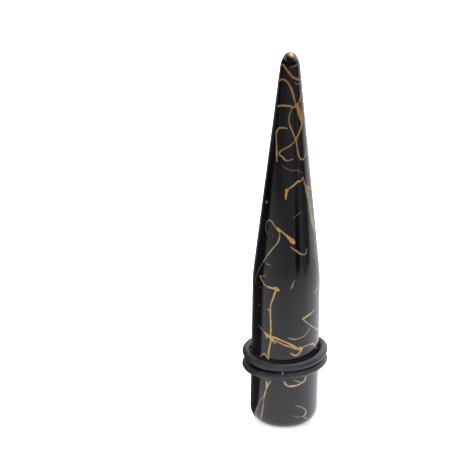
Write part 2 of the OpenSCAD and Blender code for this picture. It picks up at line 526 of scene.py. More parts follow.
@dataclass
class PaintSkin:
    """A film of paint on the taper's skin, found on a fine grid of turns and lengths along the skin.

    The grid holds the distance to the paint's edge, negative inside, and how much paint there is.
    """

    form: TurnedForm
    columns: int = 600
    row_step: float = 0.055 * MM
    first_along: float = 0.5 * MM
    tip_clear: float = 0.6 * MM
    far: float = 1.0 * MM
    web: float = 0.2 * MM
    film: float = 0.012 * MM
    film_edge: float = 0.003 * MM
    shoulder: float = 0.11 * MM
    edge_load: float = 0.3
    sink: float = 0.03 * MM
    sample_step: float = 0.1 * MM
    bead_samples: int = 7
    width_waver: float = 0.16
    load_waver: float = 0.3
    end_share: float = 0.72
    end_length: float = 0.9 * MM
    drop_turn: float = 1e-6
    rim_gap: float = 1e-7
    least_square: float = 1e-18

    def __post_init__(self) -> None:
        """Lay out the grid with no paint on it."""
        last_along = self.form.skin_length - self.tip_clear
        rows = int((last_along - self.first_along) / self.row_step)
        self.along = np.linspace(self.first_along, last_along, rows)
        self.row_step = float(self.along[1] - self.along[0])
        self.turn = round_turn(self.columns)
        self.gap = np.full((rows, self.columns), self.far)
        self.load = np.zeros((rows, self.columns))

    def smooth_path(self, path: Sequence[Place]) -> np.ndarray:
        """Draw one smooth curve through the places of a path.

        Args:
            path: turns in degrees and heights in millimetres.

        Returns:
            Closely spaced rows of turn in radians and length along the skin.
        """
        turns, heights = np.array(path, float).T
        knots = np.column_stack([np.radians(turns), self.form.along_at(heights * MM)])
        ends = np.vstack([2 * knots[0] - knots[1], knots, 2 * knots[-1] - knots[-2]])
        curve = []
        for before, start, end, after in zip(ends, ends[1:], ends[2:], ends[3:]):
            radius = float(self.form.radius_at((start[1] + end[1]) / 2))
            reach = math.hypot((end[0] - start[0]) * radius, end[1] - start[1])
            share = np.linspace(0, 1, max(2, int(reach / self.sample_step)), endpoint=False)[:, None]
            bend = 2 * before - 5 * start + 4 * end - after
            twist = 3 * start - before - 3 * end + after
            curve.append((2 * start + (end - before) * share + bend * share**2 + twist * share**3) / 2)
        return np.vstack([*curve, knots[-1:]])

    def stamp(self, gap: np.ndarray, load: np.ndarray, start: np.ndarray, end: np.ndarray) -> None:
        """Lower the gap round one short stretch of a thread.

        Args:
            gap: the thread's own grid of distances to its edge, changed in place.
            load: the thread's own grid of paint loads, changed in place.
            start: turn, length along the skin, half width and load where the stretch begins.
            end: the same where it ends.
        """
        reach = max(start[2], end[2]) + self.web + 2 * self.row_step
        low, high = sorted((start[1], end[1]))
        first = max(0, int((low - reach - self.along[0]) / self.row_step))
        last = min(len(self.along), int((high + reach - self.along[0]) / self.row_step) + 2)
        if first >= last:
            return
        radius = float(self.form.radius_at((low + high) / 2))
        spread = reach / radius
        cell = FULL_TURN / self.columns
        left = int((min(start[0], end[0]) - spread) / cell) - 1
        right = int((max(start[0], end[0]) + spread) / cell) + 2
        column = np.arange(left, right)
        across = (column * cell - start[0])[None, :] * radius
        up = (self.along[first:last] - start[1])[:, None]
        run = np.array([(end[0] - start[0]) * radius, end[1] - start[1]])
        share = np.clip((across * run[0] + up * run[1]) / max(float(run @ run), self.least_square), 0, 1)
        distance = np.hypot(across - share * run[0], up - share * run[1])
        edge = distance - (start[2] + share * (end[2] - start[2]))
        here = np.ix_(np.arange(first, last), column % self.columns)
        closer = edge < gap[here]
        gap[here] = np.where(closer, edge, gap[here])
        load[here] = np.where(closer, start[3] + share * (end[3] - start[3]), load[here])

    def lay(self, rows: np.ndarray) -> None:
        """Lay one thread and let it flow into the paint that is there already.

        Args:
            rows: turn, length along the skin, half width and load at each sample of the thread.
        """
        gap = np.full_like(self.gap, self.far)
        load = np.zeros_like(self.load)
        for start, end in zip(rows, rows[1:]):
            self.stamp(gap, load, start, end)
        near = gap < self.far
        both = near & (self.gap < 0) & (gap < 0)
        pull = np.maximum(self.web - np.abs(self.gap - gap), 0) / self.web
        self.load = np.where(near & (gap < self.gap), load, self.load)
        self.load = np.where(both, np.maximum(load, self.load), self.load)
        self.gap = np.where(near, np.minimum(self.gap, gap) - pull**2 * self.web / 4, self.gap)

    def add_thread(self, thread: Thread, rng: np.random.Generator) -> None:
        """Lay a thread whose width wavers a little and thins out towards its ends.

        Args:
            thread: the thread.
            rng: gives the waver.
        """
        curve = self.smooth_path(thread.path)
        count = len(curve)
        beads = 2 + count // self.bead_samples
        wobble = np.interp(np.arange(count), np.linspace(0, count, beads), rng.uniform(-1, 1, beads))
        from_end = np.minimum(np.arange(count), np.arange(count)[::-1]) * self.sample_step
        thinning = self.end_share + (1 - self.end_share) * np.clip(from_end / self.end_length, 0, 1)
        half_width, load = thread.weight.value
        width = half_width * (1 + self.width_waver * wobble) * thinning
        load = np.clip(load * (1 + self.load_waver * wobble) * thinning, 0, 1)
        self.lay(np.column_stack([curve, width, load]))

    def add_drop(self, drop: Drop) -> None:
        """Lay a round drop, as a thread that has next to no length.

        Args:
            drop: the drop.
        """
        along = float(self.form.along_at(drop.height * MM))
        row = np.array([math.radians(drop.turn), along, drop.radius * MM, drop.load])
        self.lay(np.vstack([row, row + [self.drop_turn, 0, 0, 0]]))

    def build(self, name: str, keep: np.ndarray, paint: bpy.types.Material) -> Piece:
        """Cut a piece of the film out of the grid along the paint's edge.

        Round each cell of the grid there are eight points: its corners, and where the edge crosses its sides.

        Args:
            name: the piece's name.
            keep: which of the grid's columns belong to this piece.
            paint: the piece's material.

        Returns:
            The film as one closed mesh with its paint load on each point.
        """
        gap = self.gap.copy()
        gap[[0, -1]] = np.abs(gap[[0, -1]]) + self.rim_gap
        rows, columns = gap.shape
        total = rows * columns
        row, column = np.meshgrid(np.arange(rows - 1), np.arange(columns), indexing="ij")
        below, above, right = row * columns, (row + 1) * columns, (column + 1) % columns
        corner = (below + column, below + right, above + right, above + column)
        side = (total + corner[0], 2 * total + corner[1], total + corner[3], 2 * total + corner[0])
        painted = [(gap < 0).ravel()[number] for number in corner]
        crossed = [here != after for here, after in zip(painted, painted[1:] + painted[:1])]
        ids = np.stack([number for pair in zip(corner, side) for number in pair], -1)
        on = np.stack([state for pair in zip(painted, crossed) for state in pair], -1)
        used = on.any(-1) & keep[column]
        ids, on, column = ids[used], on[used], column[used]
        code = on @ (1 << np.arange(8))
        tops: Chains = []
        rims: Chains = []
        for pattern in np.unique(code):
            cells = ids[code == pattern]
            slots = np.flatnonzero(on[code == pattern][0])
            tops.extend(cells[:, slots].tolist())
            for here, after in zip(slots, np.roll(slots, -1)):
                if here % 2 == 1 and after % 2 == 1:
                    rims.extend(cells[:, [here, after]].tolist())
        for aside, slots in ((1, (2, 3, 4)), (-1, (6, 7, 0))):
            cut = ~keep[(column + aside) % columns]
            for cell_ids, cell_on in zip(ids[cut], on[cut]):
                chain = [int(cell_ids[slot]) for slot in slots if cell_on[slot]]
                rims.extend(zip(chain, chain[1:]))
        return self.close(name, gap, tops, rims, paint)

    def close(
        self, name: str, gap: np.ndarray, tops: Chains, rims: Chains, paint: bpy.types.Material
    ) -> Piece:
        """Turn the film's outer faces into a closed mesh.

        Args:
            name: the piece's name.
            gap: distance to the paint's edge at each place of the grid.
            tops: the outer faces, by numbers. Those up to the grid's size are its places, and the two rounds
                of numbers after them are the crossings on the way to the next column and to the next row.
            rims: the pairs of such numbers along the open edge.
            paint: the piece's material.

        Returns:
            The piece.
        """
        numbers = np.unique([number for face in tops for number in face])
        kind, base = np.divmod(numbers, gap.size)
        here = np.divmod(base, self.columns)
        there = (here[0] + (kind == 2), (here[1] + (kind == 1)) % self.columns)
        share = np.where(kind == 0, 0.0, gap[here] / np.where(kind == 0, 1.0, gap[here] - gap[there]))
        turn = (here[1] + share * (kind == 1)) * FULL_TURN / self.columns
        along = self.along[here[0]] + share * (kind == 2) * self.row_step
        inside = np.where(kind == 0, np.clip(-gap[here] / self.shoulder, 0, 1), 0.0)
        load = self.load[here] * (1 - share) + self.load[there] * share
        load *= self.edge_load + (1 - self.edge_load) * inside
        lift = self.film_edge + (self.film - self.film_edge) * inside * (2 - inside)
        skins = [self.form.skin(turn, along, height) for height in (lift, np.full_like(lift, -self.sink))]
        count = len(numbers)
        index = {number: place for place, number in enumerate(numbers.tolist())}
        outer = [tuple(index[number] for number in face) for face in tops]
        inner = [tuple(place + count for place in face[::-1]) for face in outer]
        walls = [(index[b], index[a], index[a] + count, index[b] + count) for a, b in rims]
        faces = outer + inner + walls
        film = new_piece(name, np.vstack(skins), faces, paint, smooth=len(outer), paint_load=np.tile(load, 2))
        film.data.validate()
        return film


@dataclass(frozen=True)
class Wiring:
    """A tree of shader nodes. A feed is a socket to join to an input, or the input's own value."""

    tree: bpy.types.NodeTree

    def node(self, kind: str, feeds: Feeds | None = None, **settings: object) -> bpy.types.Node:
        """Add a shader node.

        Args:
            kind: the node's kind.
            feeds: what its inputs are fed with, by name or number.
            settings: its own options.

        Returns:
            The node.
        """
        node = self.tree.nodes.new("ShaderNode" + kind)
        for name, value in settings.items():
            setattr(node, name, value)
        for name, feed in (feeds or {}).items():
            socket = node.inputs[name]
            if isinstance(feed, Socket):
                self.tree.links.new(feed, socket)
            else:
                socket.default_value = (*feed, 1) if socket.type == "RGBA" else feed
        return node

    def math(self, operation: str, *terms: Feed, clamp: bool = False) -> Socket:
        """Do a sum."""
        return self.node("Math", dict(enumerate(terms)), operation=operation, use_clamp=clamp).outputs[0]

    def remap(self, value: Socket, start: float, end: float, first: float = 0.0, last: float = 1.0) -> Socket:
        """Turn the values from start to end into those from first to last."""
        feeds = {"Value": value, "From Min": start, "From Max": end, "To Min": first, "To Max": last}
        return self.node("MapRange", feeds).outputs["Result"]

    def mix(self, factor: Feed, first: Feed, second: Feed, blend: str = "MIX") -> Socket:
        """Mix two colours."""
        feeds = {"Factor": factor, "A": first, "B": second}
        return self.node("Mix", feeds, data_type="RGBA", blend_type=blend).outputs["Result"]

    def bump(self, height: Socket, distance: float, strength: float) -> Socket:
        """Turn a height into a normal."""
        return self.node("Bump", {"Height": height, "Distance": distance, "Strength": strength}).outputs[0]

    def place(self) -> Socket:
        """Give the place on the piece."""
        return self.node("TexCoord").outputs["Object"]

    def split(self, vector: Socket) -> list[Socket]:
        """Take a place or a direction apart."""
        return list(self.node("SeparateXYZ", {"Vector": vector}).outputs)

    def attribute(self, layer: str) -> Socket:
        """Read a number that the mesh holds on each point."""
        return self.node("Attribute", attribute_name=layer).outputs["Fac"]

    def ramp(self, share: Socket, tones: Tones) -> Socket:
        """Colour shares from 0 to 1 by a ramp.

        Args:
            share: the share at each place.
            tones: the ramp's stops from 0 to 1, each a share and its colour.

        Returns:
            The colour.
        """
        ramp = self.node("ValToRGB", {"Fac": share})
        stops = ramp.color_ramp.elements
        stops[0].color = (*tones[0][1], 1)
        stops[1].color = (*tones[-1][1], 1)
        for place, tone in tones[1:-1]:
            stops.new(place).color = (*tone, 1)
        return ramp.outputs["Color"]


@dataclass(frozen=True)
class EffectWiring(Wiring):
    """The wiring of a node group with number inputs and one number output."""

    source: bpy.types.Node

    @classmethod
    def new(cls, name: str, **inputs: float) -> "EffectWiring":
        """Start a group.

        Args:
            name: the group's name.
            inputs: the inputs' first values, with underscores for spaces in their names.

        Returns:
            Its wiring.
        """
        tree = bpy.data.node_groups.new(name, "ShaderNodeTree")
        for label, value in spaced(inputs).items():
            socket = tree.interface.new_socket(label, in_out="INPUT", socket_type="NodeSocketFloat")
            socket.default_value = value
        return cls(tree, tree.nodes.new("NodeGroupInput"))

    def noise(self, scale: str, detail: float) -> Socket:
        """Add noise whose scale is one of the group's inputs."""
        feeds = {"Vector": self.place(), "Scale": self.source.outputs[scale], "Detail": detail}
        return self.node("TexNoise", feeds).outputs["Fac"]

    def finish(self, output: str, value: Socket) -> bpy.types.NodeTree:
        """Put out a value.

        Args:
            output: the output's name.
            value: the value at each place.

        Returns:
            The group.
        """
        self.tree.interface.new_socket(output, in_out="OUTPUT", socket_type="NodeSocketFloat")
        self.tree.links.new(value, self.tree.nodes.new("NodeGroupOutput").inputs[output])
        return self.tree


@dataclass(frozen=True)
class FinishWiring(Wiring):
    """The wiring of a material."""

    material: bpy.types.Material

    @classmethod
    def new(cls, name: str) -> "FinishWiring":
        """Start an empty material.

        Args:
            name: the material's name.

        Returns:
            Its wiring.
        """
        material = bpy.data.materials.new(name)
        material.use_nodes = True
        material.node_tree.nodes.clear()
        return cls(material.node_tree, material)

    def effect(self, group: bpy.types.NodeTree, **values: float) -> Socket:
        """Place a shared effect with this material's own values."""
        return self.node("Group", spaced(values), node_tree=group).outputs[0]

    def surface(self, shader: str = "BsdfPrincipled", **feeds: Feed) -> bpy.types.Material:
        """Add the surface's shader and finish the material.

        Args:
            shader: the shader's kind.
            feeds: what its inputs are fed with, with underscores for spaces in their names.

        Returns:
            The material.
        """
        surface = self.node(shader, spaced(feeds))
        self.node("OutputMaterial", {"Surface": surface.outputs[0]})
        return self.material


@dataclass
class SharedEffects:
    """The node groups that more than one finish uses, each built once."""

    @cached_property
    def waviness(self) -> bpy.types.NodeTree:
        """Slow swells with finer ripples on them, as a height."""
        group = EffectWiring.new("surface_waviness", Scale=300.0, Ripple_Scale=2000.0, Ripple=0.2)
        swell = group.noise("Scale", detail=1.0)
        ripple = group.noise("Ripple Scale", detail=3.0)
        height = group.math("MULTIPLY_ADD", ripple, group.source.outputs["Ripple"], swell)
        return group.finish("Height", height)

    @cached_property
    def specks(self) -> bpy.types.NodeTree:
        """Small scattered specks of dust, as a mask."""
        group = EffectWiring.new("dust_specks", Scale=2500.0, Size=0.1, Share=0.35)
        given = group.source.outputs
        cells = group.node("TexVoronoi", {"Vector": group.place(), "Scale": given["Scale"]}).outputs
        near = group.math("LESS_THAN", cells["Distance"], given["Size"])
        chance = group.node("SeparateColor", {"Color": cells["Color"]}).outputs["Red"]
        picked = group.math("LESS_THAN", chance, given["Share"])
        return group.finish("Mask", group.math("MULTIPLY", near, picked))


@dataclass(frozen=True)
class RingSit:
    """How a ring sits on the shaft, in degrees: front and back leaning down, and rising to its right."""

    front_dip: float
    back_dip: float
    side_rise: float


@dataclass(frozen=True)
class RingCornerLift:
    """A paler grey band painted on the shaft in the dark corner just above a ring: painted light that lifts
    the shade there.
    """

    sit: RingSit
    ring_height: float
    above_ring: float = 0.3 * MM
    half_width: float = 0.55 * MM
    fades_over: float = 0.3 * MM

    def mask(self, tree: Wiring) -> Socket:
        """Find where the painted band lies, level with the leaning ring.

        Args:
            tree: the material that shows the painted band.

        Returns:
            A socket that is 1 in the band and 0 off it.
        """
        leans = (self.sit.front_dip, -self.sit.back_dip, self.sit.side_rise)
        front, back, side = (math.tan(math.radians(lean)) for lean in leans)
        x, y, z = tree.split(tree.place())
        lower = tree.math("MINIMUM", tree.math("MULTIPLY", y, front), tree.math("MULTIPLY", y, back))
        level = tree.math("SUBTRACT", z, tree.math("MULTIPLY_ADD", x, side, lower))
        away = tree.math("ABSOLUTE", tree.math("SUBTRACT", level, self.ring_height + self.above_ring))
        return tree.remap(away, self.half_width + self.fades_over, self.half_width)


@dataclass(frozen=True)
class PolishedAcrylic:
    """Black acrylic, machine polished to a gloss, with a few specks of dust, very slight waves, and a band of
    painted light in the dark corner above the upper ring.
    """

    corner_lift: RingCornerLift
    colour: Colour = (0.0016, 0.0016, 0.002)
    speck_colour: Colour = (0.03, 0.03, 0.032)
    # Colour of the painted light band above the upper ring, which lifts the shade in that corner.
    lifted_colour: Colour = (0.032, 0.032, 0.038)
    roughness: tuple[float, float] = (0.05, 0.1)
    refraction: float = 1.49

    def build(self, effects: SharedEffects) -> bpy.types.Material:
        """Make the material.

        Args:
            effects: the shared node groups.

        Returns:
            The material.
        """
        tree = FinishWiring.new("polished_black_acrylic")
        waves = tree.effect(effects.waviness, Scale=160.0, Ripple_Scale=1500.0, Ripple=0.05)
        specks = tree.effect(effects.specks, Scale=1500.0, Size=0.07, Share=0.12)
        # Painted light: the patchy paler band just above the upper ring lightens the dark corner there.
        patchy = tree.math("MULTIPLY", self.corner_lift.mask(tree), waves)
        specked = tree.mix(specks, self.colour, self.speck_colour)
        return tree.surface(
            Base_Color=tree.mix(patchy, specked, self.lifted_colour),
            Roughness=tree.remap(waves, 0, 1, *self.roughness),
            IOR=self.refraction,
            Normal=tree.bump(waves, distance=0.02 * MM, strength=0.5),
        )


@dataclass(frozen=True)
class GoldPaint:
    """Gold drizzle under the gloss: a dim tan where the paint is thin, deep gold where it has pooled.

    It dims towards the tip, and it's paler at the foot and on the tip itself.
    """

    tones: Tones = (
        (0.0, (0.003, 0.0025, 0.002)),
        (0.12, (0.066, 0.055, 0.039)),
        (0.28, (0.165, 0.134, 0.06)),
        (0.4, (0.24, 0.168, 0.068)),
        (0.62, (0.36, 0.217, 0.052)),
        (0.8, (0.395, 0.223, 0.024)),
        (1.0, (0.34, 0.171, 0.009)),
    )
    pale_tones: Tones = (
        (0.0, (0.003, 0.0025, 0.002)),
        (0.12, (0.068, 0.048, 0.027)),
        (0.4, (0.21, 0.145, 0.07)),
        (1.0, (0.46, 0.335, 0.145)),
    )
    fading: Tones = (
        (0.0, (0.95, 0.95, 0.95)),
        (0.33, (0.9, 0.9, 0.88)),
        (0.58, (0.8, 0.76, 0.75)),
        (0.82, (0.6, 0.5, 0.45)),
        (0.94, (0.48, 0.33, 0.3)),
        (1.0, (0.48, 0.33, 0.3)),
    )
    drift: Tones = (
        (0.0, (1.0, 0.86, 0.68)),
        (0.5, (1.0, 0.86, 0.68)),
        (0.63, (1.0, 0.96, 0.95)),
        (0.76, (0.84, 0.93, 1.0)),
        (1.0, (0.84, 0.93, 1.0)),
    )
    paleness: tuple[Place, ...] = ((0, 1), (0.14, 1), (0.2, 0.1), (0.24, 0), (0.97, 0), (0.985, 1), (1, 1))
    grain_span: tuple[float, float] = (0.35, 1.25)
    mottling: tuple[float, float] = (0.55, 1.4)
    length: float = 58.35 * MM
    roughness: tuple[float, float] = (0.32, 0.5)
    refraction: float = 1.49

    def build(self, effects: SharedEffects) -> bpy.types.Material:
        """Make the material.

        Args:
            effects: the shared node groups.

        Returns:
            The material.
        """
        tree = FinishWiring.new("gold_drizzle_paint")
        grain = tree.effect(effects.waviness, Scale=2600.0, Ripple_Scale=9000.0, Ripple=0.6)
        patches = tree.effect(effects.waviness, Scale=650.0, Ripple_Scale=2400.0, Ripple=0.25)
        mottled = tree.remap(grain, *self.grain_span, *self.mottling)
        load = tree.math("MULTIPLY", tree.attribute("paint_load"), mottled, clamp=True)
        share = tree.remap(tree.split(tree.place())[2], 0, self.length)
        tinged = tree.mix(1.0, tree.ramp(load, self.tones), tree.ramp(patches, self.drift), "MULTIPLY")
        deep = tree.mix(1.0, tinged, tree.ramp(share, self.fading), "MULTIPLY")
        pale = tree.ramp(share, tuple((place, (much,) * 3) for place, much in self.paleness))
        return tree.surface(
            Base_Color=tree.mix(pale, deep, tree.ramp(load, self.pale_tones)),
            Metallic=0.15,
            Roughness=tree.remap(grain, 0, 1, *self.roughness),
            IOR=self.refraction,
            Specular_IOR_Level=0.0,
            Coat_Weight=1.0,
            Coat_Roughness=0.09,
            Coat_IOR=self.refraction,
            Normal=tree.bump(grain, distance=0.004 * MM, strength=0.5),
        )


@dataclass(frozen=True)
class MattRubber:
    """Black rubber with a fine matt skin, a patchy grey bloom that is painted only on its upward faces as
    painted top light, and specks of lint.
    """

    colour: Colour = (0.007, 0.007, 0.009)
    # Grey of the bloom. It is painted on the upward faces only, so it is partly painted top light.
    bloom_and_top_light: Colour = (0.038, 0.037, 0.043)
    lint: Colour = (0.12, 0.12, 0.13)
    roughness: tuple[float, float] = (0.29, 0.43)
    bloom_span: tuple[float, float] = (0.2, 1.0)
    top_light_span: tuple[float, float] = (-0.5, 0.6)

    def build(self, effects: SharedEffects) -> bpy.types.Material:
        """Make the material.

        Args:
            effects: the shared node groups.

        Returns:
            The material.
        """
        tree = FinishWiring.new("matt_black_rubber")
        skin = tree.effect(effects.waviness, Scale=900.0, Ripple_Scale=12000.0, Ripple=0.5)
        specks = tree.effect(effects.specks, Scale=2600.0, Size=0.13, Share=0.1)
        # Painted top light: the patchy grey bloom is weighted by how far each face points up, so tops read
        # lit and undersides shaded.
        upward = tree.split(tree.node("NewGeometry").outputs["Normal"])[2]
        bloomed, top_light_mask = tree.remap(skin, *self.bloom_span), tree.remap(upward, *self.top_light_span)
        top_lit_bloom = tree.math("MULTIPLY", bloomed, top_light_mask)
        return tree.surface(
            Base_Color=tree.mix(specks, tree.mix(top_lit_bloom, self.colour, self.bloom_and_top_light), self.lint),
            Roughness=tree.remap(skin, 0, 1, *self.roughness),
            IOR=1.5,
            Specular_IOR_Level=0.34,
            Normal=tree.bump(skin, distance=0.01 * MM, strength=0.6),
        )


@dataclass
class AcrylicTaper:
    """The turned acrylic spike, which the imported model's own node shows."""

    upper_sit: RingSit
    node: str = "taper"

    def dress(self, frame: dict, effects: SharedEffects) -> Piece:
        """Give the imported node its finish.

        Args:
            frame: the loaded frame.
            effects: the shared node groups.

        Returns:
            The node's object.
        """
        spike = frame["nodes"][self.node]
        low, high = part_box("upper_o_ring")
        # The band of painted light that lifts the shade just above the upper ring.
        lifted_band = RingCornerLift(self.upper_sit, ring_height=(low.z + high.z) / 2)
        spike.material_slots[0].material = PolishedAcrylic(lifted_band).build(effects)
        return spike


@dataclass(frozen=True)
class DabPatch:
    """Where the tip's dab holds most paint: its middle to the right and to the front, its reach and load."""

    aside: float
    ahead: float
    width: float
    depth: float
    load: float

    def load_at(self, places: np.ndarray) -> np.ndarray:
        """Find how much paint the patch gives.

        Args:
            places: points of the dab.

        Returns:
            The patch's load at each point.
        """
        aside = (places[:, 0] - self.aside) / self.width
        ahead = (-places[:, 1] - self.ahead) / self.depth
        return self.load * np.exp(-(aside**2) - ahead**2)


@dataclass
class GoldDrizzle:
    """The threads of gold paint thrown over the taper, and the dab on its tip."""

    form: TurnedForm
    seed: int = 11
    thrown: int = 26
    half_turn: float = math.radians(84)
    dab_spokes: int = 72
    dab_rings: int = 14
    dab_reach: float = 1.5 * MM
    dab_front: float = 0.1
    dab_waver: float = 0.05
    dab_film: float = 0.018 * MM
    dab_edge: float = 0.004 * MM
    dab_sink: float = 0.03 * MM
    dab_patches: tuple[DabPatch, ...] = (
        DabPatch(0.02 * MM, 0.42 * MM, 0.42 * MM, 0.36 * MM, 0.74),
        DabPatch(0.3 * MM, 0.7 * MM, 0.26 * MM, 0.2 * MM, 0.5),
    )
    bare_below: float = 0.07
    crown_load: float = 0.27
    crown_front: float = 0.6 * MM
    crown_fade: float = 0.5 * MM
    flank_load: float = 0.17
    flank_from: float = 0.45 * MM
    flank_fade: float = 0.3 * MM
    flank_depth: float = 1.5 * MM
    flank_rise: float = 0.8 * MM

    def build(self, effects: SharedEffects) -> list[Piece]:
        """Make the paint's pieces.

        Args:
            effects: the shared node groups.

        Returns:
            The paint on the front, the paint on the back and the dab on the tip.
        """
        rng = np.random.default_rng(self.seed)
        drizzler = Drizzler(self.form, rng)
        carried = [drizzler.carry_on(thread) for thread in FRONT_THREADS if thread.runs_on]
        thrown, thrown_drops = drizzler.throw(self.thrown)
        skin = PaintSkin(self.form)
        for thread in (*FRONT_THREADS, *carried, *thrown):
            skin.add_thread(thread, rng)
        for drop in (*FRONT_DROPS, *thrown_drops):
            skin.add_drop(drop)
        paint = GoldPaint().build(effects)
        ahead = np.cos(skin.turn) > math.cos(self.half_turn)
        front = skin.build("gold_drizzle_front", ahead, paint)
        back = skin.build("gold_drizzle_back", ~ahead, paint)
        pieces = [front, back, self.build_dab(paint, rng)]
        for piece in pieces:
            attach(piece, ROOT)
        return pieces

    def build_dab(self, paint: bpy.types.Material, rng: np.random.Generator) -> Piece:
        """Make the dab of paint that caps the tip, with an uneven rim.

        Args:
            paint: the dab's material.
            rng: gives the rim's waver.

        Returns:
            The dab as a closed mesh.
        """
        spokes, rings, form = self.dab_spokes, self.dab_rings, self.form
        turn = round_turn(spokes)
        uneven = waver(rng, turn, self.dab_waver, orders=(2, 3, 5))
        rim = self.dab_reach * (1 + self.dab_front * np.cos(turn) + uneven)
        down, around = np.meshgrid(np.linspace(0, 1, rings + 1)[1:], turn, indexing="ij")
        along = form.skin_length - down * rim[None, :]
        film = self.dab_edge + (self.dab_film - self.dab_edge) * np.sqrt(1 - down**2)
        under = np.full_like(film, -self.dab_sink)
        skins = [form.skin(around, along, lift).reshape(-1, 3) for lift in (film, under)]
        ends = [(0.0, 0.0, form.length + self.dab_film), (0.0, 0.0, form.length - self.dab_sink)]
        places = np.vstack([*skins, ends])
        count = spokes * rings
        edge = count - spokes
        cells = grid_faces(rings, spokes, round_columns=True)
        faces = [face[::-1] for face in cells] + [tuple(count + point for point in face) for face in cells]
        for spoke in range(spokes):
            after = (spoke + 1) % spokes
            faces.append((spoke, after, 2 * count))
            faces.append((count + after, count + spoke, 2 * count + 1))
            faces.append((edge + after, edge + spoke, count + edge + spoke, count + edge + after))
        return new_piece("gold_tip_dab", places, faces, paint, paint_load=self.dab_load(places))

    def dab_load(self, places: np.ndarray) -> np.ndarray:
        """Find how much paint there is: most in the patches, and a little on the crown and the flanks.

        Args:
            places: points of the dab.

        Returns:
            The load at each point.
        """
        crown = self.crown_load * np.clip((self.crown_front + places[:, 1]) / self.crown_fade, 0, 1)
        flank = self.flank_load * np.clip((np.abs(places[:, 0]) - self.flank_from) / self.flank_fade, 0, 1)
        height = np.clip((places[:, 2] - self.form.length + self.flank_depth) / self.flank_rise, 0, 1)
        load = sum(patch.load_at(places) for patch in self.dab_patches)
        return np.maximum(load - self.bare_below, 0) + np.maximum(crown, flank * height)


@dataclass
class RubberRing:
    """An O-ring of round rubber cord, bent a little across its middle, with the fine line its mould left."""

    node: str
    sit: RingSit
    shaft_radius: float
    squash: float = 0.0
    cord_radius: float = 0.65 * MM
    shaft_gap: float = 0.03 * MM
    side_gap: float = 0.012 * MM
    soft_bend: float = 0.35 * MM
    unevenness: float = 0.0025
    line_height: float = 0.02 * MM
    line_half_width: float = 1.6
    line_steps: tuple[float, ...] = (-2.5, -1.2, 0.0, 1.2, 2.5)
    around: int = 240
    across: int = 40

    @property
    def ring_radius(self) -> float:
        """Radius of the cord's centre line, with room for the ring to lean on the shaft."""
        dip = math.radians(max(self.sit.front_dip, self.sit.back_dip))
        lean = math.acos(math.cos(dip) * math.cos(math.radians(self.sit.side_rise)))
        return (self.shaft_radius + self.shaft_gap + self.cord_radius) / math.cos(lean)

    def centre_line(self) -> np.ndarray:
        """Points of the cord's centre line, about the ring's own middle."""
        half_bend = math.radians((self.sit.front_dip + self.sit.back_dip) / 2)
        side_rise = math.radians(self.sit.side_rise)
        angle = round_turn(self.around)
        depth = self.ring_radius * np.sin(angle)
        fold = np.sqrt(depth**2 + self.soft_bend**2) - self.soft_bend
        side_reach = (self.shaft_radius + self.side_gap + self.cord_radius) / math.cos(side_rise)
        across = side_reach * np.cos(angle)
        line = np.column_stack([across, depth * math.cos(half_bend), -fold * math.sin(half_bend)])
        lean = Matrix.Rotation(math.radians((self.sit.front_dip - self.sit.back_dip) / 2), 3, "X")
        return line @ np.array(Matrix.Rotation(-side_rise, 3, "Y") @ lean).T

    def build(self, rubber: bpy.types.Material, rng: np.random.Generator) -> Piece:
        """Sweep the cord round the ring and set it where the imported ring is.

        Args:
            rubber: the ring's material.
            rng: gives the cord's slight unevenness.

        Returns:
            The ring, which replaces its node.
        """
        line = self.centre_line()
        ahead = np.roll(line, -1, axis=0) - np.roll(line, 1, axis=0)
        ahead /= np.linalg.norm(ahead, axis=1, keepdims=True)
        outward = line - line.mean(axis=0)
        outward -= (outward * ahead).sum(axis=1, keepdims=True) * ahead
        outward /= np.linalg.norm(outward, axis=1, keepdims=True)
        upward = np.cross(outward, ahead)
        upward *= np.sign(upward[:, 2:3])
        near_line = np.radians(self.line_steps)
        rest = np.linspace(near_line[-1], FULL_TURN + near_line[0], self.across)[1:-1]
        profile = np.concatenate([near_line, rest])
        ridge = np.exp(-((np.degrees(profile + math.pi) % 360 - 180) / self.line_half_width) ** 2)
        uneven = waver(rng, round_turn(self.around), self.unevenness, orders=range(2, 9))
        radius = self.cord_radius * (1 + uneven[None, :]) + self.line_height * ridge[:, None]
        flatter = 1 - self.squash / (2 * self.cord_radius)
        outwards = (radius * np.cos(profile)[:, None])[:, :, None] * outward
        upwards = (radius * flatter * np.sin(profile)[:, None])[:, :, None] * upward
        points = (line + outwards + upwards).reshape(-1, 3)
        low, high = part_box(self.node)
        points += [0, 0, (low.z + high.z) / 2 - (points[:, 2].min() + points[:, 2].max()) / 2]
        faces = grid_faces(len(profile), self.around, round_rows=True, round_columns=True)
        ring = new_piece(self.node + "_rubber", points, faces, rubber)
        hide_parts(self.node)
        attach(ring, ROOT)
        return ring


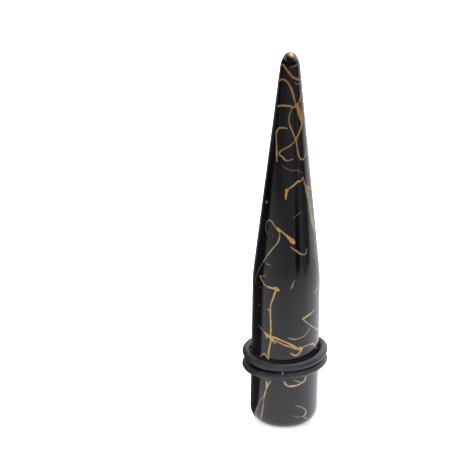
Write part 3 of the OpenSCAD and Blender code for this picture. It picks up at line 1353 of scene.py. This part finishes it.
@dataclass(frozen=True)
class GrooveLint:
    """A pale speck of lint that is pinched in the groove between the rings, at the front."""

    turn: float = math.radians(-2.6)
    reach: float = 6.05 * MM
    height: float = 9.91 * MM
    half_size: Spot = (0.15 * MM, 0.12 * MM, 0.16 * MM)
    unevenness: float = 0.12
    colour: Colour = (0.2, 0.2, 0.25)
    dark_colour: Colour = (0.08, 0.08, 0.1)

    def build(self) -> Piece:
        """Make the speck as a small uneven ball.

        Returns:
            The speck.
        """
        ball = bmesh.new()
        bmesh.ops.create_icosphere(ball, subdivisions=3, radius=1.0)
        ball.verts.index_update()
        points = np.array([point.co for point in ball.verts])
        faces = [tuple(point.index for point in face.verts) for face in ball.faces]
        ball.free()
        x, y, z = points.T
        swell = 1 + self.unevenness * np.sin(5 * x + 3 * z) * np.cos(4 * y)
        middle = (self.reach * math.sin(self.turn), -self.reach * math.cos(self.turn), self.height)
        points = points * swell[:, None] * self.half_size + middle
        tree = FinishWiring.new("pale_lint")
        fibres = tree.node("TexNoise", {"Scale": 20000.0}).outputs["Fac"]
        shades = tree.ramp(fibres, ((0.0, self.dark_colour), (1.0, self.colour)))
        speck = new_piece("groove_lint", points, faces, tree.surface(Base_Color=shades, Roughness=0.9))
        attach(speck, ROOT)
        return speck


@dataclass(frozen=True)
class Camera:
    """A long lens at the photograph's height above the floor, with the taper right of the middle."""

    elevation: float = math.radians(22)
    roll: float = math.radians(1.06)
    distance: float = 1.2
    target: Spot = (0.0, 0.0, 30 * MM)
    pixels: float = 470
    pixels_per_mm: float = 6.78
    target_x: float = 287.16
    target_y: float = 231.86
    sensor: float = 36.0
    clip: Place = (0.01, 50)

    def build(self) -> Piece:
        """Make the scene's camera.

        Returns:
            The camera.
        """
        focal_pixels = self.pixels_per_mm / MM * self.distance
        data = bpy.data.cameras.new("camera")
        data.sensor_width = self.sensor
        data.lens = focal_pixels / self.pixels * self.sensor
        data.clip_start, data.clip_end = self.clip
        level_right = Vector((1, 0, 0))
        level_up = Vector((0, math.sin(self.elevation), math.cos(self.elevation)))
        to_target = Vector((0, math.cos(self.elevation), -math.sin(self.elevation)))
        right = level_right * math.cos(self.roll) + level_up * math.sin(self.roll)
        up = level_up * math.cos(self.roll) - level_right * math.sin(self.roll)
        aside = (self.target_x - self.pixels / 2) / focal_pixels
        above = (self.pixels / 2 - self.target_y) / focal_pixels
        forward = (to_target - right * aside - up * above).normalized()
        right = forward.cross(up).normalized()
        up = right.cross(forward)
        camera = link(bpy.data.objects.new("camera", data))
        turned = Matrix((right, up, -forward)).transposed().to_4x4()
        camera.matrix_world = Matrix.Translation(Vector(self.target) - to_target * self.distance) @ turned
        bpy.context.scene.camera = camera
        return camera


@dataclass(frozen=True)
class GlowStop:
    """How bright the tent is in one direction, in degrees round from the front.

    The floor has a value near the taper and one far off, the wall one low down and one high up. The
    floor's far light runs on up the wall and gives way to the wall's own between the two fold heights, in
    millimetres.
    """

    turn: float
    near: float
    far: float
    low: float
    high: float
    fold_low: float = 7.0
    fold_high: float = 12.5


TENT_STOPS: tuple[GlowStop, ...] = (
    GlowStop(-180, 0.2, 0.27, 0.27, 0.2),
    GlowStop(-165, 0.2, 0.27, 0.27, 0.2),
    GlowStop(-150, 0.25, 0.3, 0.48, 0.4),
    GlowStop(-140, 0.12, 0.12, 0.18, 0.38),
    GlowStop(-130, 0.12, 0.05, 0.0, 0.2),
    GlowStop(-94, 0.1, 0.05, 0.0, 0.0),
    GlowStop(-90, 0.12, 0.06, 0.03, 0.03),
    GlowStop(-86, 0.15, 0.15, 0.12, 0.08),
    GlowStop(-80, 1.2, 0.9, 0.5, 0.2),
    GlowStop(-76, 1.65, 1.15, 0.66, 0.2),
    GlowStop(-40, 1.6, 1.1, 0.58, 0.22),
    GlowStop(-20, 1.7, 1.0, 0.55, 0.35),
    GlowStop(0, 1.75, 0.95, 0.43, 0.4),
    GlowStop(29, 1.8, 1.1, 0.45, 0.42),
    GlowStop(34.5, 1.8, 1.15, 0.0, 0.24, 8.4, 8.9),
    GlowStop(46.5, 1.9, 1.2, 0.0, 0.24, 8.4, 8.9),
    GlowStop(51, 1.9, 1.2, 0.42, 0.4),
    GlowStop(66, 2.0, 1.35, 0.42, 0.4, 5.2, 6.4),
    GlowStop(73, 2.1, 1.5, 0.23, 0.18, 5.2, 6.4),
    GlowStop(92, 2.25, 1.75, 0.2, 0.18, 4.6, 6.4),
    GlowStop(99, 2.2, 1.8, 0.85, 0.9),
    GlowStop(110, 2.1, 1.85, 1.45, 1.45),
    GlowStop(120, 2.0, 1.9, 1.45, 1.45),
    GlowStop(130, 1.85, 1.85, 1.6, 1.6),
    GlowStop(140, 1.65, 1.7, 1.65, 1.7),
    GlowStop(150, 1.25, 1.4, 1.45, 1.5),
    GlowStop(160, 0.9, 1.1, 1.0, 1.1),
    GlowStop(168, 0.7, 0.82, 0.78, 0.85),
    GlowStop(180, 0.2, 0.27, 0.27, 0.2),
)


@dataclass
class LightTent:
    """The soft cards round the taper that only gloss sees: a ring on the floor, a round wall and a roof."""

    inner: float = 3.9 * MM
    full_glow: float = 6.5 * MM
    near: float = 12 * MM
    far: float = 55 * MM
    radius: float = 90 * MM
    inner_share: float = 0.6
    corner_share: float = 0.8
    wall_fold: float = 13 * MM
    wall_hold: float = 16.5 * MM
    wall_rings: int = 40
    wall_high: float = 22 * MM
    wall_top: float = 46 * MM
    wall_height: float = 80 * MM
    roof_height: float = 150 * MM
    roof_dim: float = 0.04
    roof_bright: float = 3.5
    roof_share: float = 0.45
    zenith_bright: float = 4.5
    zenith_side: float = 10.0
    zenith_turn: float = 100
    roof_turn: float = 150
    floor_gap: float = 0.3 * MM
    floor_rings: int = 32
    tint: Colour = (0.985, 0.975, 1.05)
    columns: int = 240

    def build(self) -> list[Piece]:
        """Make the tent's cards and hide them from everything but reflections.

        Returns:
            The floor card, the wall and the roof.
        """
        turns = np.linspace(-180, 180, self.columns + 1)
        stops = np.array([astuple(stop) for stop in TENT_STOPS])
        values = [np.interp(turns, stops[:, 0], column) for column in stops[:, 1:].T]
        near, far, low, high, fold_low, fold_high = values
        corner = far * self.corner_share
        floor_rows = []
        for radius in np.geomspace(self.inner, self.radius, self.floor_rings):
            rise = np.interp(radius, [self.inner, self.full_glow], [self.inner_share, 1])
            away = np.interp(radius, [self.near, self.far], [0, 1])
            last = np.interp(radius, [self.far, self.radius], [0, 1])
            glow = rise * (near + (far - near) * away) * (1 - last) + corner * last
            floor_rows.append((radius, self.floor_gap, glow))
        wall_rows = []
        for height in np.linspace(self.floor_gap, self.wall_fold, self.wall_rings):
            folded = np.clip((height / MM - fold_low) / (fold_high - fold_low), 0, 1)
            wall_rows.append((self.radius, height, corner * (1 - folded) + low * folded))
        roof = self.roof_dim + (self.roof_bright - self.roof_dim) * self.lobe(turns, self.roof_turn) ** 2
        heights = (self.wall_hold, self.wall_high, self.wall_top, self.wall_height)
        wall_rows += [(self.radius, height, glow) for height, glow in zip(heights, (low, high, high, roof))]
        dimmed = roof * self.roof_share
        upper = dimmed + self.zenith_side * self.lobe(turns, self.zenith_turn)
        zenith = np.full_like(roof, self.zenith_bright)
        vault = (
            (1.0, 0.0, roof),
            (0.8, 0.5, dimmed),
            (0.5, 0.82, (dimmed + upper) / 2),
            (0.25, 0.95, (upper + zenith) / 2),
            (0.01, 1.0, zenith),
        )
        top, rise = self.wall_height, self.roof_height - self.wall_height
        roof_rows = [(self.radius * reach, top + rise * share, glow) for reach, share, glow in vault]
        rows = {"tent_floor_card": floor_rows, "tent_wall_card": wall_rows, "tent_roof_card": roof_rows}
        return [self.card(name, turns, card_rows) for name, card_rows in rows.items()]

    @staticmethod
    def lobe(turns: np.ndarray, middle: float) -> np.ndarray:
        """A glow of 1 in its middle direction that fades to 0 a quarter turn off, in degrees."""
        return np.clip(np.cos(np.radians(turns - middle)), 0, 1)

    def card(self, name: str, turns: np.ndarray, rows: list[tuple[float, float, np.ndarray]]) -> Piece:
        """Make one card that glows by the brightness on its points.

        Args:
            name: the card's name.
            turns: the directions of its columns, in degrees.
            rows: radius, height and brightness of each of its rows.

        Returns:
            The card.
        """
        x, y = np.sin(np.radians(turns)), -np.cos(np.radians(turns))
        points = [
            np.column_stack([radius * x, radius * y, np.full_like(x, height)]) for radius, height, _ in rows
        ]
        glow = np.concatenate([brightness for _, _, brightness in rows])
        tree = FinishWiring.new(name)
        light = tree.surface("Emission", Color=self.tint, Strength=tree.attribute("glow"))
        faces = grid_faces(len(rows), len(turns))
        card = new_piece(name, np.vstack(points), faces, light, smooth=0, glow=glow)
        hide_from(card, "camera", "diffuse", "shadow", "transmission")
        return card


@dataclass
class Studio:
    """A plain white floor under soft light."""

    floor_size: float = 6.0
    floor_colour: Colour = (0.86, 0.86, 0.865)
    floor_glow: float = 0.6
    sky: Colour = (1.0, 1.0, 1.01)
    sky_strength: float = 1.05
    flag_left: float = -12.5 * MM
    flag_reach: float = 7 * MM
    flag_height: float = 25 * MM
    aim: Spot = (0, 0, 25 * MM)

    def build(self) -> None:
        """Make the floor, the sky, the lamps and the flag that shades the left side."""
        self.build_floor()
        self.build_flag()
        self.build_sky()
        self.build_lamp("key_softbox", (0.06, 0.42, 0.52), size=0.45, power=5.0)
        self.build_lamp("front_softbox", (-0.25, -0.6, 0.55), size=0.5, power=3.0)

    def build_flag(self) -> None:
        """Stand a black card on the left, which only shades that side and is never seen."""
        left, reach, height = self.flag_left, self.flag_reach, self.flag_height
        points = [(left, -reach, 0), (left, reach, 0), (left, reach, height), (left, -reach, height)]
        black = FinishWiring.new("black_card").surface(Base_Color=(0.01, 0.01, 0.01), Roughness=1.0)
        flag = new_piece("shading_flag", points, [(0, 1, 2, 3)], black, smooth=0)
        hide_from(flag, "camera", "glossy", "transmission")

    def build_floor(self) -> None:
        """Make the floor of matt white paper."""
        half = self.floor_size / 2
        paper = FinishWiring.new("white_paper").surface(
            Base_Color=self.floor_colour,
            Roughness=0.9,
            Specular_IOR_Level=0.1,
            Emission_Color=self.floor_colour,
            Emission_Strength=self.floor_glow,
        )
        points = [(-half, -half, 0), (half, -half, 0), (half, half, 0), (-half, half, 0)]
        new_piece("floor", points, [(0, 1, 2, 3)], paper, smooth=0)

    def build_sky(self) -> None:
        """Light the scene evenly from all round."""
        world = bpy.data.worlds.new("studio")
        world.use_nodes = True
        background = world.node_tree.nodes["Background"]
        background.inputs["Color"].default_value = (*self.sky, 1)
        background.inputs["Strength"].default_value = self.sky_strength
        bpy.context.scene.world = world
        bpy.context.scene.view_settings.view_transform = "Standard"

    def build_lamp(self, name: str, place: Spot, size: float, power: float) -> None:
        """Hang a soft lamp that points at the taper and doesn't show in its gloss.

        Args:
            name: the lamp's name.
            place: where it hangs.
            size: the side of its square face.
            power: its power in watts.
        """
        data = bpy.data.lights.new(name, "AREA")
        data.size = size
        data.energy = power
        lamp = link(bpy.data.objects.new(name, data))
        lamp.location = place
        lamp.rotation_euler = (Vector(self.aim) - Vector(place)).to_track_quat("-Z", "Y").to_euler()
        hide_from(lamp, "glossy")


def main() -> None:
    """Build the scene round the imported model, and report each piece."""
    logging.basicConfig(level=logging.INFO, format="%(name)s: %(message)s")
    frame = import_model()
    Camera().build()
    form = TurnedForm.from_frame("taper")
    effects = SharedEffects()
    upper_sit = RingSit(front_dip=6.8, back_dip=1.5, side_rise=2.5)
    lower_sit = RingSit(front_dip=1.8, back_dip=1.0, side_rise=5.0)
    pieces = [AcrylicTaper(upper_sit).dress(frame, effects)]
    rubber = MattRubber().build(effects)
    rng = np.random.default_rng(RING_SEED)
    upper = RubberRing("upper_o_ring", upper_sit, form.shaft_radius)
    lower = RubberRing("lower_o_ring", lower_sit, form.shaft_radius, squash=0.2 * MM)
    pieces.extend(ring.build(rubber, rng) for ring in (upper, lower))
    pieces.append(GrooveLint().build())
    pieces.extend(GoldDrizzle(form).build(effects))
    Studio().build()
    LightTent().build()
    for piece in pieces:
        mesh = piece.data
        triangles = sum(len(face.vertices) - 2 for face in mesh.polygons)
        LOG.info("%s: %d points, %d triangles", piece.name, len(mesh.vertices), triangles)


if __name__ == "__main__":
    main()
